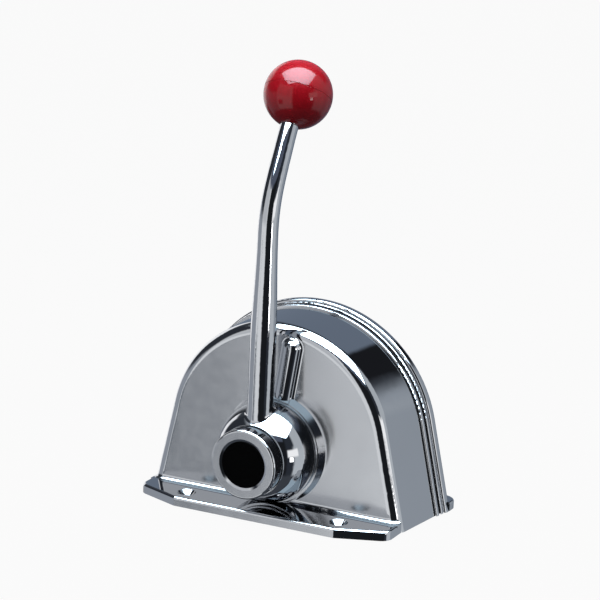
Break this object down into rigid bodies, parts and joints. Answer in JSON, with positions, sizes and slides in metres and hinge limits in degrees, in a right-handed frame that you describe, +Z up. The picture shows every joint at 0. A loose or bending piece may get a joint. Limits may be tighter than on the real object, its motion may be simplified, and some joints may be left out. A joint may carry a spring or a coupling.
{
  "type": "boat throttle control lever",
  "caption": "Top-mount boat engine control: chrome D-shaped housing with flanges, bell hub with push button, bent lever with red ball knob.",
  "frame": {"origin": "centre of the four mounting holes, in the plane of the foot", "axes": "+Z up from the foot, +X along the foot (forward), -Y towards the lever side"},
  "size_m": [0.203, 0.13, 0.2951],
  "materials": {
    "chrome": "mirror polished",
    "red_knob": "gloss",
    "black_button": "matt",
    "rubber": "matt",
    "stainless": "satin",
    "plated_steel": "zinc plated",
    "ground_steel": "ground, oiled",
    "spring_steel": "drawn wire",
    "bronze": "sintered",
    "brass": "turned",
    "cast_block": "cast, machined",
    "nylon": "natural",
    "brake_lining": "pressed fibre"
  },
  "bodies": {
    "housing": {"front_housing": "chrome", "rear_cover": "chrome", "housing_gasket": "rubber", "cover_screws": "stainless", "front_bushing": "bronze", "rear_bushing": "bronze", "mechanism_plate": "plated_steel", "standoffs": "plated_steel", "plate_screws": "stainless", "bracket_screws": "stainless", "detent_block": "cast_block", "detent_block_screws": "stainless", "detent_ball": "ground_steel", "detent_plug": "ground_steel", "detent_spring": "spring_steel", "shift_stub": "ground_steel", "stub_ring": "stainless", "throttle_cable_bracket": "plated_steel", "shift_cable_bracket": "plated_steel", "friction_guide": "cast_block", "friction_shoe": "brake_lining", "friction_screw": "stainless", "friction_spring": "spring_steel"},
    "lever": {"lever": "chrome", "knob": "red_knob", "knob_stud": "stainless", "hub_bolt": "stainless", "hub_washer": "stainless", "hub_key": "ground_steel", "lever_shaft": "ground_steel", "shaft_ring": "stainless", "thrust_washer": "nylon", "detent_wheel": "ground_steel", "drive_gear": "ground_steel", "drive_key": "ground_steel", "throttle_arm": "plated_steel", "arm_key": "ground_steel", "button_spring": "spring_steel"},
    "button": {"hub_button": "black_button", "button_seal": "rubber"},
    "shift_crank": {"shift_gear": "ground_steel", "shift_arm": "plated_steel", "arm_rivets": "ground_steel"},
    "throttle_swivel": {"throttle_swivel": "brass", "throttle_swivel_clip": "stainless"},
    "shift_swivel": {"shift_swivel": "brass", "shift_swivel_clip": "stainless"},
    "throttle_trunnion": {"throttle_trunnion": "brass"},
    "shift_trunnion": {"shift_trunnion": "brass"}
  },
  "joints": [
    {"name": "lever_swing", "type": "hinge", "parent": "housing", "child": "lever", "pos_m": [0, 0, 0.0424], "axis": [0, 1, 0], "range_deg": [-75, 75]},
    {"name": "button_press", "type": "slide", "parent": "lever", "child": "button", "axis": [0, 1, 0], "range_m": [0, 0.003], "stiffness_N_per_m": 800, "springref_m": -0.002, "deforming": ["button_spring"]},
    {"name": "shift_gear_turn", "type": "hinge", "parent": "housing", "child": "shift_crank", "pos_m": [0.03338, 0, 0.05589], "axis": [0, 1, 0], "range_deg": [-45, 45]},
    {"name": "throttle_swivel_turn", "type": "hinge", "parent": "lever", "child": "throttle_swivel", "pos_m": [0, 0.02145, 0.0724], "axis": [0, 1, 0], "continuous": true},
    {"name": "shift_swivel_turn", "type": "hinge", "parent": "shift_crank", "child": "shift_swivel", "pos_m": [0.06338, -0.00685, 0.05589], "axis": [0, 1, 0], "continuous": true},
    {"name": "throttle_trunnion_turn", "type": "hinge", "parent": "housing", "child": "throttle_trunnion", "pos_m": [0, 0.02145, 0.0175], "axis": [0, 1, 0], "continuous": true},
    {"name": "shift_trunnion_turn", "type": "hinge", "parent": "housing", "child": "shift_trunnion", "pos_m": [0.06338, -0.00685, 0.0175], "axis": [0, 1, 0], "continuous": true}
  ],
  "couplings": [
    {"joint": "shift_gear_turn", "follows": "lever_swing", "ratio": -0.6}
  ]
}
